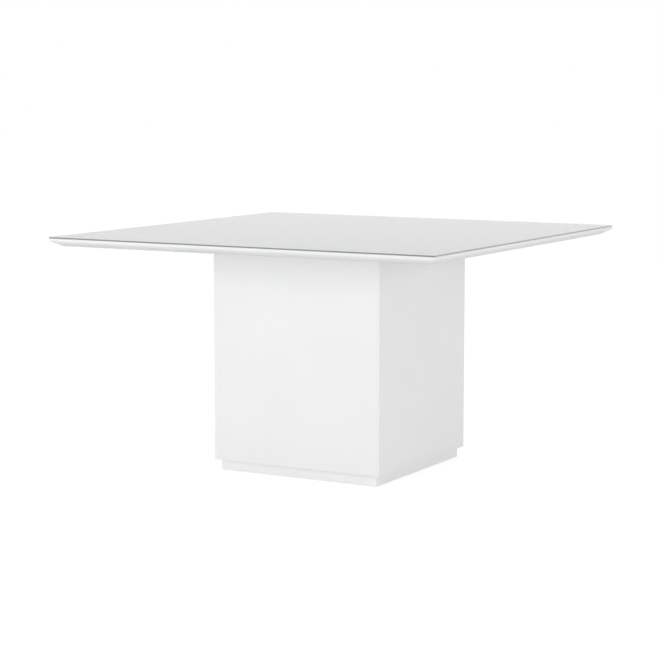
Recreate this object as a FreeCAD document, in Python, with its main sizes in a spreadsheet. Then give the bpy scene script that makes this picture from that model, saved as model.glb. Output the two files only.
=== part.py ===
# Square dining table: a glass sheet on a lacquered top, on a mitred box pedestal with a recessed plinth.
# Millimetres. The origin is on the floor under the middle of the table, +Z is up, the front looks along -Y.
import FreeCAD
import Part
import Sketcher
import math
import os

Vector = FreeCAD.Vector
UP = Vector(0, 0, 1)

SIZES = {
    # The whole table
    "table_side": 1370,
    "table_height": 780,
    # Glass sheet and the clear pads under it
    "glass_thick": 4,
    "glass_inset": 1,
    "glass_arris": 0.7,
    "pad_side": 12,
    "pad_thick": 1,
    "pad_edge": 60,
    "pads_per_side": 4,
    # Top board with its upright lip and under-bevel
    "top_thick": 25,
    "top_corner": 6,
    "lip_height": 7,
    "lip_round": 8,
    "bevel_inset": 34,
    # Box pedestal
    "pedestal_side": 612,
    "panel_thick": 16,
    "panel_clearance": 36,
    "arris_round": 1.5,
    "block_leg": 45,
    "block_tip": 6,
    # Plinth
    "plinth_clearance": 2,
    "plinth_height": 90,
    "plinth_thick": 16,
    # Battens that the top is bolted to
    "rail_width": 30,
    "rail_height": 40,
    "rail_end_gap": 0.5,
    # Bolts, washers and threaded inserts
    "bolt_from_end": 100,
    "bolt_dia": 6,
    "bolt_short": 2,
    "bolt_clear": 0.3,
    "bolt_point": 1,
    "bolt_head_dia": 11,
    "bolt_head_flat": 6,
    "bolt_head_height": 3.3,
    "bolt_socket_flats": 4,
    "bolt_socket_depth": 2,
    "washer_dia": 18,
    "washer_thick": 1.6,
    "insert_dia": 10,
    "insert_length": 14,
    "thread_gap": 0.05,
    # Screws into the panels
    "screw_dia": 4,
    "screw_bite": 10,
    "screw_point": 2,
    "screw_head_dia": 8,
    "screw_head_flat": 4,
    "screw_head_height": 2.4,
    "rail_screw_from_end": 40,
    "plinth_screw_from_block": 45,
    # Levelling feet
    "foot_base_dia": 40,
    "foot_base_height": 7,
    "foot_base_top_dia": 26,
    "foot_base_rim": 3,
    "foot_socket_depth": 4,
    "collar_flats": 17,
    "collar_height": 5,
    "foot_gap": 0.3,
    "stud_dia": 8,
    "stud_length": 40,
    "stud_point": 1,
    "stud_clear": 0.5,
    "foot_block_side": 60,
    "foot_block_height": 50,
    "foot_insert_dia": 12,
    "foot_insert_length": 20,
}

doc = FreeCAD.newDocument("square_table")
sheet = doc.addObject("Spreadsheet::Sheet", "Sizes")
for row, (alias, size) in enumerate(SIZES.items(), start=1):
    sheet.set(f"A{row}", alias)
    sheet.set(f"B{row}", str(size))
    sheet.setAlias(f"B{row}", alias)
doc.recompute()

# Places that several pieces share, as expressions on the sheet
TOP_HALF = "(Sizes.table_side / 2)"
BEYOND = "(Sizes.table_side)"  # clear of the table on every side
GLASS_HALF = f"({TOP_HALF} - Sizes.glass_inset)"
GLASS_UNDER = "(Sizes.table_height - Sizes.glass_thick)"
TOP_FACE = f"({GLASS_UNDER} - Sizes.pad_thick)"
TOP_UNDER = f"({TOP_FACE} - Sizes.top_thick)"
BOX_HALF = "(Sizes.pedestal_side / 2)"
BOX_INNER = f"({BOX_HALF} - Sizes.panel_thick)"
PLINTH_INNER = f"({BOX_INNER} - Sizes.plinth_thick)"
PLINTH_TOP = "(Sizes.plinth_clearance + Sizes.plinth_height)"
RAIL_INNER = f"({BOX_INNER} - Sizes.rail_width)"
RAIL_UNDER = f"({TOP_UNDER} - Sizes.rail_height)"
RAIL_HALF = f"({BOX_INNER} - Sizes.block_leg - Sizes.rail_end_gap)"
BOLT_ALONG = f"({RAIL_HALF} - Sizes.bolt_from_end)"
BOLT_OUT = f"({BOX_INNER} - Sizes.rail_width / 2)"
BOLT_PLACE = (BOLT_ALONG, f"-{BOLT_OUT}")
RAIL_SCREW_ALONG = f"({RAIL_HALF} - Sizes.rail_screw_from_end)"
RAIL_SCREW_UP = f"({TOP_UNDER} - Sizes.rail_height / 2)"
PLINTH_SCREW_ALONG = f"({PLINTH_INNER} - Sizes.foot_block_side - Sizes.plinth_screw_from_block)"
PLINTH_SCREW_UP = f"(({PLINTH_TOP} + Sizes.panel_clearance) / 2)"
SCREW_HOLE = "(Sizes.screw_dia / 2 + Sizes.thread_gap)"
COLLAR_TOP = "(Sizes.foot_base_height + Sizes.collar_height)"
FOOT_BLOCK_UNDER = f"({COLLAR_TOP} + Sizes.foot_gap)"
FOOT_OUT = f"({PLINTH_INNER} - Sizes.foot_block_side / 2)"
FOOT_PLACE = (f"-{FOOT_OUT}", f"-{FOOT_OUT}")
STUD_HOLE = "(Sizes.stud_dia / 2 + Sizes.thread_gap)"

SIDES = {"front": 0, "right": 90, "back": 180, "left": 270}
CORNERS = {"front_left": 0, "front_right": 90, "back_right": 180, "back_left": 270}


def value(expression):
    return float(sheet.evalExpression(expression))


def minus(expression):
    return f"-({expression})"


def new_body(label, quarter_turn=0):
    body = doc.addObject("PartDesign::Body", label)
    body.Label = label
    body.Placement = FreeCAD.Placement(Vector(), FreeCAD.Rotation(UP, quarter_turn))
    return body


def datum(body, role):
    return next(item for item in body.Origin.OriginFeatures if item.Role == role)


def new_sketch(body, plane, **offsets):
    """Sketch on one of the body's origin planes, moved by expressions along the plane's own x, y and z."""
    sketch = body.newObject("Sketcher::SketchObject", f"{body.Name}_sketch")
    sketch.AttachmentSupport = (datum(body, plane), [""])
    sketch.MapMode = "FlatFace"
    for axis, expression in offsets.items():
        sketch.setExpression(f"AttachmentOffset.Base.{axis}", expression)
    return sketch


def bind(sketch, constraint, expression):
    number = sketch.addConstraint(constraint)
    name = f"size_{number}"
    sketch.renameConstraint(number, name)
    sketch.setExpression(f"Constraints.{name}", expression)


def hold_point(sketch, geometry, position, place):
    """Ties a point of a sketch to its place, given by two expressions."""
    for kind, axis, expression in zip(("DistanceX", "DistanceY"), (-2, -1), place):
        if expression == "0":
            sketch.addConstraint(Sketcher.Constraint("PointOnObject", geometry, position, axis))
            continue
        distance = Sketcher.Constraint(kind, -1, 1, geometry, position, value(expression))
        bind(sketch, distance, expression)


def arc_between(start, end, radius):
    """Anticlockwise arc of less than a half circle, with its centre to the left of the chord."""
    chord = end - start
    left = Vector(-chord.y, chord.x, 0).normalize()
    centre = start + chord * 0.5 + left * math.sqrt(radius ** 2 - chord.Length ** 2 / 4)
    return Part.Arc(start, centre - left * radius, end)


def draw_loop(sketch, corners, arcs=None):
    """Closed loop, anticlockwise; arcs maps the number of an arc's first corner to the arc's radius."""
    arcs = arcs or {}
    first = sketch.GeometryCount
    count = len(corners)
    points = [Vector(value(x), value(y), 0) for x, y in corners]
    for number, start in enumerate(points):
        end = points[(number + 1) % count]
        if number in arcs:
            sketch.addGeometry(arc_between(start, end, value(arcs[number])), False)
        else:
            sketch.addGeometry(Part.LineSegment(start, end), False)
    for number in range(count):
        following = first + (number + 1) % count
        sketch.addConstraint(Sketcher.Constraint("Coincident", first + number, 2, following, 1))
    for number, place in enumerate(corners):
        hold_point(sketch, first + number, 1, place)
    for number, radius in arcs.items():
        bind(sketch, Sketcher.Constraint("Radius", first + number, value(radius)), radius)


def draw_circle(sketch, place, radius):
    centre = Vector(value(place[0]), value(place[1]), 0)
    geometry = sketch.addGeometry(Part.Circle(centre, UP, value(radius)), False)
    hold_point(sketch, geometry, 3, place)
    bind(sketch, Sketcher.Constraint("Radius", geometry, value(radius)), radius)


def draw_rectangle(sketch, low, high):
    draw_loop(sketch, [(low[0], low[1]), (high[0], low[1]), (high[0], high[1]), (low[0], high[1])])


def draw_rounded_square(sketch, half, radius):
    flat = f"({half} - {radius})"
    corners = [
        (minus(flat), minus(half)),
        (flat, minus(half)),
        (half, minus(flat)),
        (half, flat),
        (flat, half),
        (minus(flat), half),
        (minus(half), flat),
        (minus(half), minus(flat)),
    ]
    draw_loop(sketch, corners, {number: radius for number in (1, 3, 5, 7)})


def draw_hexagon(sketch, flats):
    """Hexagon about the sketch's origin, with two of its flats square to the sketch's x axis."""
    half = f"({flats} / 2)"
    tip = f"({flats} / sqrt(3))"
    corners = [
        ("0", minus(tip)),
        (half, minus(f"{tip} / 2")),
        (half, f"{tip} / 2"),
        ("0", tip),
        (minus(half), f"{tip} / 2"),
        (minus(half), minus(f"{tip} / 2")),
    ]
    draw_loop(sketch, corners)


def add_feature(body, kind, sketch):
    feature = body.newObject(f"PartDesign::{kind}", f"{body.Name}_{kind.lower()}")
    feature.Profile = sketch
    return feature


def pad(body, sketch, length):
    feature = add_feature(body, "Pad", sketch)
    feature.setExpression("Length", length)
    return feature


def pocket(body, sketch, depth, along_normal):
    """Cuts the sketch into the body, along the sketch's normal or against it."""
    feature = add_feature(body, "Pocket", sketch)
    feature.setExpression("Length", depth)
    feature.Reversed = along_normal
    return feature


def revolve(body, sketch, axis):
    feature = add_feature(body, "Revolution", sketch)
    feature.ReferenceAxis = (sketch, [axis])
    feature.Angle = 360
    return feature


def quarter_turns(body):
    """Four copies about the table's upright axis."""
    pattern = body.newObject("PartDesign::PolarPattern", f"{body.Name}_turns")
    pattern.Axis = (datum(body, "Z_Axis"), [""])
    pattern.Angle = 360
    pattern.Occurrences = 4
    return pattern


def left_and_right(body):
    pattern = body.newObject("PartDesign::Mirrored", f"{body.Name}_mirror")
    pattern.MirrorPlane = (datum(body, "YZ_Plane"), [""])
    return pattern


def spread(body, features, *patterns):
    """Repeats the features by each pattern in turn; the copies are separate solids of one group."""
    doc.recompute()
    whole = body.newObject("PartDesign::MultiTransform", f"{body.Name}_spread")
    whole.Originals = features
    whole.Transformations = [pattern(body) for pattern in patterns]
    body.Tip = whole


def faces_facing(feature, direction):
    """Names of the flat faces that look the given way."""
    names = []
    for number, face in enumerate(feature.Shape.Faces, start=1):
        if face.Surface.TypeId == "Part::GeomPlane" and face.normalAt(0, 0).dot(direction) > 0.999:
            names.append(f"Face{number}")
    return names


def make_glass():
    body = new_body("glass_top")
    sketch = new_sketch(body, "XY_Plane", z=GLASS_UNDER)
    draw_rounded_square(sketch, GLASS_HALF, "(Sizes.top_corner - Sizes.glass_inset)")
    slab = pad(body, sketch, "Sizes.glass_thick")
    doc.recompute()
    arris = body.newObject("PartDesign::Chamfer", "glass_top_arris")
    arris.Base = (slab, faces_facing(slab, UP) + faces_facing(slab, -UP))
    arris.setExpression("Size", "Sizes.glass_arris")


def make_glass_pads():
    body = new_body("glass_pads")
    sketch = new_sketch(body, "XY_Plane", z=TOP_FACE)
    outer = f"-({GLASS_HALF} - Sizes.pad_edge)"
    inner = f"({outer} + Sizes.pad_side)"
    draw_rectangle(sketch, (outer, outer), (inner, inner))
    square = pad(body, sketch, "Sizes.pad_thick")
    doc.recompute()
    grid = body.newObject("PartDesign::LinearPattern", "glass_pads_grid")
    grid.Originals = [square]
    grid.Direction = (datum(body, "X_Axis"), [""])
    grid.Direction2 = (datum(body, "Y_Axis"), [""])
    for suffix in ("", "2"):
        grid.setExpression(f"Length{suffix}", f"-{outer} - {inner}")
        grid.setExpression(f"Occurrences{suffix}", "Sizes.pads_per_side")
    body.Tip = grid


def draw_top_section(sketch):
    """Section of the top board: upright lips, rounded over into flat bevels that run in to the underside."""
    drop = "(Sizes.top_thick - Sizes.lip_height)"
    slant = f"sqrt({drop} ^ 2 + Sizes.bevel_inset ^ 2)"
    knee = f"({TOP_FACE} - Sizes.lip_height)"
    # How far the round reaches from the knee, up the lip and along the bevel
    setback = f"(Sizes.lip_round * ({slant} - {drop}) / Sizes.bevel_inset)"
    lip_foot = f"({knee} + {setback})"
    bevel_out = f"({TOP_HALF} - {setback} * Sizes.bevel_inset / {slant})"
    bevel_up = f"({knee} - {setback} * {drop} / {slant})"
    under_half = f"({TOP_HALF} - Sizes.bevel_inset)"
    corners = [
        (minus(under_half), TOP_UNDER),
        (under_half, TOP_UNDER),
        (bevel_out, bevel_up),
        (TOP_HALF, lip_foot),
        (TOP_HALF, TOP_FACE),
        (minus(TOP_HALF), TOP_FACE),
        (minus(TOP_HALF), lip_foot),
        (minus(bevel_out), bevel_up),
    ]
    draw_loop(sketch, corners, {2: "Sizes.lip_round", 6: "Sizes.lip_round"})


def make_top():
    body = new_body("top_panel")
    # The section runs right along the board, then what lies outside the same section is cut away crosswise,
    # so that the bevels meet in a mitre at each corner.
    along = new_sketch(body, "XZ_Plane")
    draw_top_section(along)
    blank = pad(body, along, "Sizes.table_side + 2 * Sizes.bevel_inset")
    blank.SideType = "Symmetric"
    across = new_sketch(body, "YZ_Plane")
    draw_rectangle(across, (minus(BEYOND), "0"), (BEYOND, "2 * Sizes.table_height"))
    draw_top_section(across)
    ends = pocket(body, across, "2 * Sizes.table_side", along_normal=True)
    ends.SideType = "Symmetric"
    # Small plan radius at the four corners
    plan = new_sketch(body, "XY_Plane", z=TOP_FACE)
    draw_rectangle(plan, (minus(BEYOND), minus(BEYOND)), (BEYOND, BEYOND))
    draw_rounded_square(plan, TOP_HALF, "Sizes.top_corner")
    pocket(body, plan, "Sizes.top_thick", along_normal=False)
    # Blind holes for the threaded inserts, two over each batten
    hole = new_sketch(body, "XY_Plane", z=TOP_UNDER)
    draw_circle(hole, BOLT_PLACE, "Sizes.insert_dia / 2 + Sizes.thread_gap")
    drilled = pocket(body, hole, "Sizes.insert_length", along_normal=True)
    spread(body, [drilled], left_and_right, quarter_turns)


def draw_mitred_board(sketch, outer, inner):
    """Section of the front board of a mitred box: each mitre takes half of the rounded arris."""
    flat = f"({outer} - Sizes.arris_round)"
    mitre = f"({outer} - Sizes.arris_round * (1 - sqrt(0.5)))"
    corners = [
        (minus(flat), minus(outer)),
        (flat, minus(outer)),
        (mitre, minus(mitre)),
        (inner, minus(inner)),
        (minus(inner), minus(inner)),
        (minus(mitre), minus(mitre)),
    ]
    draw_loop(sketch, corners, {1: "Sizes.arris_round", 5: "Sizes.arris_round"})


def cut_screw_holes(body, face, depth, rows):
    """Holes in the front board of a box, cut forwards from its face at that distance: rows of (along, up)."""
    sketch = new_sketch(body, "XZ_Plane", z=face)
    for along, up in rows:
        for x in (minus(along), along):
            draw_circle(sketch, (x, up), SCREW_HOLE)
    pocket(body, sketch, depth, along_normal=True)


def make_side_panel(side, turn):
    body = new_body(f"side_panel_{side}", turn)
    sketch = new_sketch(body, "XY_Plane", z="Sizes.panel_clearance")
    draw_mitred_board(sketch, BOX_HALF, BOX_INNER)
    pad(body, sketch, f"{TOP_UNDER} - Sizes.panel_clearance")
    rows = [(RAIL_SCREW_ALONG, RAIL_SCREW_UP), (PLINTH_SCREW_ALONG, PLINTH_SCREW_UP)]
    cut_screw_holes(body, BOX_INNER, "Sizes.screw_bite + Sizes.thread_gap", rows)


def make_plinth_rail(side, turn):
    body = new_body(f"plinth_rail_{side}", turn)
    sketch = new_sketch(body, "XY_Plane", z="Sizes.plinth_clearance")
    draw_mitred_board(sketch, BOX_INNER, PLINTH_INNER)
    pad(body, sketch, "Sizes.plinth_height")
    cut_screw_holes(body, PLINTH_INNER, "Sizes.plinth_thick", [(PLINTH_SCREW_ALONG, PLINTH_SCREW_UP)])


def make_mounting_rail(side, turn):
    body = new_body(f"mounting_rail_{side}", turn)
    sketch = new_sketch(body, "XY_Plane", z=RAIL_UNDER)
    draw_rectangle(sketch, (minus(RAIL_HALF), minus(BOX_INNER)), (RAIL_HALF, minus(RAIL_INNER)))
    pad(body, sketch, "Sizes.rail_height")
    bolts = new_sketch(body, "XY_Plane", z=RAIL_UNDER)
    for along in (BOLT_ALONG, minus(BOLT_ALONG)):
        draw_circle(bolts, (along, minus(BOLT_OUT)), "Sizes.bolt_dia / 2 + Sizes.bolt_clear")
    pocket(body, bolts, "Sizes.rail_height", along_normal=True)
    cut_screw_holes(body, RAIL_INNER, "Sizes.rail_width", [(RAIL_SCREW_ALONG, RAIL_SCREW_UP)])


def make_corner_block(corner, turn):
    """Glue block in the angle of two panels, standing on the plinth rails, its two sharp edges blunted."""
    body = new_body(f"corner_block_{corner}", turn)
    sketch = new_sketch(body, "XY_Plane", z=PLINTH_TOP)
    root = minus(BOX_INNER)
    leg = f"({root} + Sizes.block_leg)"
    tip = f"({root} + Sizes.block_tip)"
    draw_loop(sketch, [(root, root), (leg, root), (leg, tip), (tip, leg), (root, leg)])
    pad(body, sketch, f"{TOP_UNDER} - {PLINTH_TOP}")


def make_foot_block(corner, turn):
    body = new_body(f"foot_block_{corner}", turn)
    block = new_sketch(body, "XY_Plane", z=FOOT_BLOCK_UNDER)
    root = minus(PLINTH_INNER)
    reach = f"({root} + Sizes.foot_block_side)"
    draw_rectangle(block, (root, root), (reach, reach))
    pad(body, block, "Sizes.foot_block_height")
    for radius, depth in (
        ("Sizes.stud_dia / 2 + Sizes.stud_clear", "Sizes.foot_block_height"),
        ("Sizes.foot_insert_dia / 2 + Sizes.thread_gap", "Sizes.foot_insert_length"),
    ):
        bore = new_sketch(body, "XY_Plane", z=FOOT_BLOCK_UNDER)
        draw_circle(bore, FOOT_PLACE, radius)
        pocket(body, bore, depth, along_normal=True)


def make_top_bolts():
    """Button-head bolts with a hexagon socket, up through the battens."""
    body = new_body("top_bolts")
    bearing = f"({RAIL_UNDER} - Sizes.washer_thick)"
    section = new_sketch(body, "XZ_Plane", x=BOLT_ALONG, y=bearing, z=BOLT_OUT)
    shank = "(Sizes.bolt_dia / 2)"
    reach = "(Sizes.washer_thick + Sizes.rail_height + Sizes.insert_length - Sizes.bolt_short)"
    corners = [
        ("0", "-Sizes.bolt_head_height"),
        ("Sizes.bolt_head_flat / 2", "-Sizes.bolt_head_height"),
        ("Sizes.bolt_head_dia / 2", "0"),
        (shank, "0"),
        (shank, f"{reach} - Sizes.bolt_point"),
        (f"{shank} - Sizes.bolt_point", reach),
        ("0", reach),
    ]
    draw_loop(section, corners)
    bolt = revolve(body, section, "V_Axis")
    floor = f"{bearing} - Sizes.bolt_head_height"
    hexagon = new_sketch(body, "XY_Plane", x=BOLT_ALONG, y=minus(BOLT_OUT), z=floor)
    draw_hexagon(hexagon, "Sizes.bolt_socket_flats")
    socket = pocket(body, hexagon, "Sizes.bolt_socket_depth", along_normal=True)
    spread(body, [bolt, socket], left_and_right, quarter_turns)


def make_rings(label, place, level, outer, inner, length, *patterns):
    """Washers or threaded inserts: plain rings, repeated round the table."""
    body = new_body(label)
    sketch = new_sketch(body, "XY_Plane", z=level)
    draw_circle(sketch, place, outer)
    draw_circle(sketch, place, inner)
    ring = pad(body, sketch, length)
    spread(body, [ring], *patterns)


def make_screws(label, face, along, up, through):
    """Pan-head screws, driven outwards from the face of a board and through it into the panel."""
    body = new_body(label)
    section = new_sketch(body, "YZ_Plane", x=minus(face), y=up, z=along)
    shank = "(Sizes.screw_dia / 2)"
    length = f"({through} + Sizes.screw_bite)"
    corners = [
        (minus(length), "0"),
        ("Sizes.screw_head_height", "0"),
        ("Sizes.screw_head_height", "Sizes.screw_head_flat / 2"),
        ("0", "Sizes.screw_head_dia / 2"),
        ("0", shank),
        (f"Sizes.screw_point - {length}", shank),
    ]
    draw_loop(section, corners)
    screw = revolve(body, section, "H_Axis")
    spread(body, [screw], left_and_right, quarter_turns)


def make_foot_stud(corner, turn):
    """Threaded stud with a hexagon collar to turn it by; its lower end sits in the plastic base."""
    body = new_body(f"foot_stud_{corner}", turn)
    hexagon = new_sketch(body, "XY_Plane", x=minus(FOOT_OUT), y=minus(FOOT_OUT), z="Sizes.foot_base_height")
    draw_hexagon(hexagon, "Sizes.collar_flats")
    pad(body, hexagon, "Sizes.collar_height")
    section = new_sketch(body, "XZ_Plane", x=minus(FOOT_OUT), z=FOOT_OUT)
    radius = "(Sizes.stud_dia / 2)"
    low = "(Sizes.foot_base_height - Sizes.foot_socket_depth)"
    high = f"({COLLAR_TOP} + Sizes.stud_length)"
    corners = [
        ("0", low),
        (radius, low),
        (radius, f"{high} - Sizes.stud_point"),
        (f"{radius} - Sizes.stud_point", high),
        ("0", high),
    ]
    draw_loop(section, corners)
    revolve(body, section, "V_Axis")


def make_foot_base(corner, turn):
    """Plastic disc with a sloping top and a socket for the stud."""
    body = new_body(f"foot_base_{corner}", turn)
    section = new_sketch(body, "XZ_Plane", x=minus(FOOT_OUT), z=FOOT_OUT)
    socket_floor = "Sizes.foot_base_height - Sizes.foot_socket_depth"
    corners = [
        ("0", "0"),
        ("Sizes.foot_base_dia / 2", "0"),
        ("Sizes.foot_base_dia / 2", "Sizes.foot_base_rim"),
        ("Sizes.foot_base_top_dia / 2", "Sizes.foot_base_height"),
        (STUD_HOLE, "Sizes.foot_base_height"),
        (STUD_HOLE, socket_floor),
        ("0", socket_floor),
    ]
    draw_loop(section, corners)
    revolve(body, section, "V_Axis")


def check_and_write():
    """Stops at anything that failed to build, then writes each piece to its own file."""
    for item in doc.Objects:
        if {"Invalid", "Error"} & set(item.State):
            raise RuntimeError(f"{item.Name} failed: {item.State}")
        if item.TypeId == "PartDesign::Pocket" and item.Shape.Volume >= item.BaseFeature.Shape.Volume:
            raise RuntimeError(f"{item.Name} cuts nothing")
    pieces = [item for item in doc.Objects if item.TypeId == "PartDesign::Body"]
    for piece in pieces:
        if piece.Shape.isNull() or not piece.Shape.isValid():
            raise RuntimeError(f"{piece.Label} has no valid shape")
    os.makedirs("parts", exist_ok=True)
    for piece in pieces:
        piece.Shape.exportStep(os.path.join("parts", f"{piece.Label}.step"))
        print(piece.Label, len(piece.Shape.Solids), f"{piece.Shape.Volume:.1f}")


make_glass()
make_glass_pads()
make_top()
for side_name, angle in SIDES.items():
    make_side_panel(side_name, angle)
    make_plinth_rail(side_name, angle)
    make_mounting_rail(side_name, angle)
for corner_name, angle in CORNERS.items():
    make_corner_block(corner_name, angle)
    make_foot_block(corner_name, angle)
    make_foot_stud(corner_name, angle)
    make_foot_base(corner_name, angle)
make_top_bolts()
make_rings(
    "bolt_washers", BOLT_PLACE, f"{RAIL_UNDER} - Sizes.washer_thick",
    "Sizes.washer_dia / 2", "Sizes.bolt_dia / 2 + Sizes.bolt_clear", "Sizes.washer_thick",
    left_and_right, quarter_turns,
)
make_rings(
    "top_inserts", BOLT_PLACE, TOP_UNDER,
    "Sizes.insert_dia / 2", "Sizes.bolt_dia / 2 + Sizes.thread_gap", "Sizes.insert_length",
    left_and_right, quarter_turns,
)
make_rings(
    "foot_inserts", FOOT_PLACE, FOOT_BLOCK_UNDER,
    "Sizes.foot_insert_dia / 2", STUD_HOLE, "Sizes.foot_insert_length",
    quarter_turns,
)
make_screws("mounting_rail_screws", RAIL_INNER, RAIL_SCREW_ALONG, RAIL_SCREW_UP, "Sizes.rail_width")
make_screws("plinth_screws", PLINTH_INNER, PLINTH_SCREW_ALONG, PLINTH_SCREW_UP, "Sizes.plinth_thick")
doc.recompute()
check_and_write()
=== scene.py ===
import math

import bmesh
import bpy
from mathutils import Matrix, Vector


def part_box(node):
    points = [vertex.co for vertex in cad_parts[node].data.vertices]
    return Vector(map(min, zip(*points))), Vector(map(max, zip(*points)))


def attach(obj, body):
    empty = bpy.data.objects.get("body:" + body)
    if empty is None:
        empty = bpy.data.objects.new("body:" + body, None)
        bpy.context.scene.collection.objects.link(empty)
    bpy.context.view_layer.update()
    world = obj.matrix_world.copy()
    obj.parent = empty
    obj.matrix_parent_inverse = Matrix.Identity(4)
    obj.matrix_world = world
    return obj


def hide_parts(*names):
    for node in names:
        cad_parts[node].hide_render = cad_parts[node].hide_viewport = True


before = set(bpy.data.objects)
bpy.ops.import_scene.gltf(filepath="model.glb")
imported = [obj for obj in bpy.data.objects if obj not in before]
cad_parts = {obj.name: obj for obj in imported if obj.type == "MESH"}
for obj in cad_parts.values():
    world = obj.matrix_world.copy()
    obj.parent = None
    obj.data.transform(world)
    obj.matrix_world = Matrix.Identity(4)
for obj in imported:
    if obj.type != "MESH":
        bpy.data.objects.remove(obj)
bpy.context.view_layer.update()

# Square dining table, in metres: a glass sheet on a white lacquered top,
# which stands on a mitred box with a recessed plinth.

# Top board: upright lip, rounded over into a flat under-bevel
LIP_HEIGHT = 0.007
LIP_ROUND = 0.008
LIP_CUTS = 9
BEVEL_INSET = 0.034
TOP_CORNER = 0.006
CORNER_CUTS = 7

# Glass sheet and its pads
GLASS_CORNER = 0.005
GLASS_ARRIS = 0.0007
PAD_SIDE = 0.012
PAD_CORNER = PAD_SIDE / 4
PAD_CORNER_STEPS = 5
PAD_EDGE = 0.060
PADS_PER_SIDE = 4

# Boards of the box and the plinth, and the wood inside it
ARRIS_ROUND = 0.0015
ARRIS_CUTS = 3
EASED = 0.0008
EASED_STEPS = 2
BLOCK_TIP = 0.006
WOOD_EASED = 0.002
WOOD_EASED_STEPS = 3

# Bolts, washers and inserts under the top
BOLT_FROM_END = 0.100
BOLT_RADIUS = 0.003
BOLT_PITCH = 0.001
BOLT_HEAD_RADIUS = 0.0055
BOLT_HEAD_HEIGHT = 0.0033
BOLT_CROWN = math.radians(60)
BOLT_CROWN_STEPS = 6
BOLT_NECK = 0.002
BOLT_SHORT = 0.002
BOLT_CLEAR = 0.0003
SOCKET_FLATS = 0.004
SOCKET_DEPTH = 0.002
WASHER_THICK = 0.0016
INSERT_RADIUS = 0.005
INSERT_LENGTH = 0.014
INSERT_PITCH = 0.002
THREAD_GAP = 0.00005

# Screws through the battens and the plinth rails; shares are of the shank's radius
BATTEN_SCREW_FROM_END = 0.040
PLINTH_SCREW_FROM_BLOCK = 0.045
SCREW_RADIUS = 0.002
SCREW_PITCH = 0.0016
SCREW_BITE = 0.010
SCREW_NECK = 0.002
SCREW_NECK_SHARE = 0.8
SCREW_POINT = 0.002
SCREW_POINT_SHARE = 0.7
SCREW_POINT_END = 0.0001
SCREW_HEAD_RADIUS = 0.004
SCREW_HEAD_HEIGHT = 0.0024
SCREW_HEAD_ANGLES = (0, 18, 36, 54, 70)
SCREW_CROWN_SHARE = 0.9
RECESS_LONG = 0.0042
RECESS_WIDE = 0.0009
RECESS_DEEP = 0.0014
SCREW_MERGE = 0.00001

# Levelling feet; shares are of the plastic disc's radius
STUD_RADIUS = 0.004
STUD_PITCH = 0.00125
STUD_CLEAR = 0.0005
PIN_CHAMFER = 0.0003
COLLAR_FLATS = 0.017
COLLAR_HEIGHT = 0.005
COLLAR_TURNED_OFF = 0.0008
FOOT_SOCKET = 0.004
FOOT_INSERT_RADIUS = 0.006
FOOT_INSERT_LENGTH = 0.020
FOOT_INSERT_PITCH = 0.0025
DISC_EASED = 0.0006
DISC_RIM = 0.0024
DISC_SHOULDER = 0.0032
DISC_SHOULDER_INSET = 0.0005
DISC_HOLLOW_SHARE = 0.55
DISC_STAND_SHARE = 0.6
DISC_SLOPE_SHARE = 0.66
DISC_TOP_SHARE = 0.64

# How finely round shapes are made
ROUND_SIDES = 32
SCREW_SIDES = 16
SCREW_HEAD_SIDES = 24
FOOT_SIDES = 48
HEXAGON = 6
THREAD_STEPS = 20
SHANK_STEPS = 16
THREAD_DEPTH_SHARE = 0.6
SPARE_TURNS = 3
SMOOTH_ANGLE = math.radians(32)

# Ways of working: how near counts as the same place, and how far tools and joined shapes run on
SAME_PLACE = 1e-5
CUT_SNAP = 1e-7
OVERRUN = 0.001
CLEAR_ABOVE = 0.010
FACING = 0.5
FLAT = 0.99

# Studio: what the floor and the world give to rays that see them directly, and to the rest.
# The lacquer mirrors the backdrop, but not the floor's glow.
FLOOR_RADIUS = 40
FLOOR_SIDES = 64
FLOOR_BOUNCE = 0.95
FLOOR_SHADED = 0.41
FLOOR_GLOW = 0.715
FLOOR_SEEN_BY = ("Is Camera Ray", "Is Transmission Ray")
BACKDROP_SEEN_BY = FLOOR_SEEN_BY + ("Is Glossy Ray",)
WORLD_SOFT = 0.75
HORIZON_WHITE = 1.0
HORIZON_HEIGHT = 0.04
UPPER_GREY = 0.73
UPPER_HEIGHT = 0.10

# Camera, with its angles in degrees
EYE = (3.1853, -5.6901, 1.2766)
EYE_DOWN = 7.227
EYE_TURNED = 29.575
LENS = 107.82
SENSOR = 36

SIDES = ("front", "right", "back", "left")
CORNERS = ("front_left", "front_right", "back_right", "back_left")
X, Y, Z = range(3)
UP = Vector((0, 0, 1))
DOWN = -UP
FRONT = Vector((0, -1, 0))
RIGHT = Vector((1, 0, 0))
BACK = Vector((0, 1, 0))
HERE = Matrix.Identity(4)


def quarter(turns):
    """Quarter turns about the table's upright axis."""
    return Matrix.Rotation(turns * math.pi / 2, 4, "Z")


# Working a piece by hand

def only(piece):
    """Makes a piece the one that is selected and active."""
    bpy.ops.object.select_all(action="DESELECT")
    piece.select_set(True)
    bpy.context.view_layer.objects.active = piece


def named(name):
    """Names the active piece and its mesh."""
    piece = bpy.context.object
    piece.name = name
    piece.data.name = name
    return piece


def add_block(name, low, high):
    """Square-edged block between two corners."""
    bpy.ops.object.select_all(action="DESELECT")
    bpy.ops.mesh.primitive_cube_add(size=1, location=(low + high) / 2, scale=high - low)
    bpy.ops.object.transform_apply()
    return named(name)


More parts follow.
